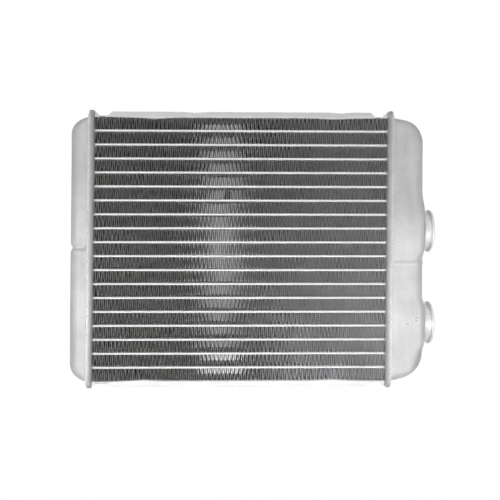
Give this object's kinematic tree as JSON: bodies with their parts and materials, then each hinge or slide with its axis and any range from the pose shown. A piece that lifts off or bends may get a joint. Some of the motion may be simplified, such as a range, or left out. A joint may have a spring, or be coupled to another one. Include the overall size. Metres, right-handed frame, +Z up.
{
  "type": "heater core",
  "caption": "Brazed aluminium heater core: flat tubes with folded fins between a return tank and a deeper tank with two flanged pipe nozzles.",
  "frame": {"origin": "middle of the overall box at the level of the lower header ears, on which the core stands", "axes": "+X towards the two nozzles, along the tubes; -Y out of the front face, against the air flow; +Z up"},
  "size_m": [0.2434, 0.0326, 0.184],
  "materials": {
    "tank_aluminium": "matt brazed skin, slightly grained",
    "header_aluminium": "matt brazed sheet with speckled braze line",
    "nozzle_aluminium": "turned, satin",
    "side_plate_aluminium": "matt rolled sheet",
    "tube_aluminium": "bright rolled and brazed",
    "fin_aluminium": "thin rolled fin sheet"
  },
  "bodies": {
    "root": {"baffle": "header_aluminium", "bottom_side_plate": "side_plate_aluminium", "fin_strip_01": "fin_aluminium", "fin_strip_02": "fin_aluminium", "fin_strip_03": "fin_aluminium", "fin_strip_04": "fin_aluminium", "fin_strip_05": "fin_aluminium", "fin_strip_06": "fin_aluminium", "fin_strip_07": "fin_aluminium", "fin_strip_08": "fin_aluminium", "fin_strip_09": "fin_aluminium", "fin_strip_10": "fin_aluminium", "fin_strip_11": "fin_aluminium", "fin_strip_12": "fin_aluminium", "fin_strip_13": "fin_aluminium", "fin_strip_14": "fin_aluminium", "fin_strip_15": "fin_aluminium", "fin_strip_16": "fin_aluminium", "fin_strip_17": "fin_aluminium", "fin_strip_18": "fin_aluminium", "fin_strip_19": "fin_aluminium", "left_header_plate": "header_aluminium", "left_tank": "tank_aluminium", "lower_nozzle": "nozzle_aluminium", "right_header_plate": "header_aluminium", "right_tank": "tank_aluminium", "top_side_plate": "side_plate_aluminium", "tube_01": "tube_aluminium", "tube_02": "tube_aluminium", "tube_03": "tube_aluminium", "tube_04": "tube_aluminium", "tube_05": "tube_aluminium", "tube_06": "tube_aluminium", "tube_07": "tube_aluminium", "tube_08": "tube_aluminium", "tube_09": "tube_aluminium", "tube_10": "tube_aluminium", "tube_11": "tube_aluminium", "tube_12": "tube_aluminium", "tube_13": "tube_aluminium", "tube_14": "tube_aluminium", "tube_15": "tube_aluminium", "tube_16": "tube_aluminium", "tube_17": "tube_aluminium", "tube_18": "tube_aluminium", "upper_nozzle": "nozzle_aluminium"}
  },
  "joints": []
}
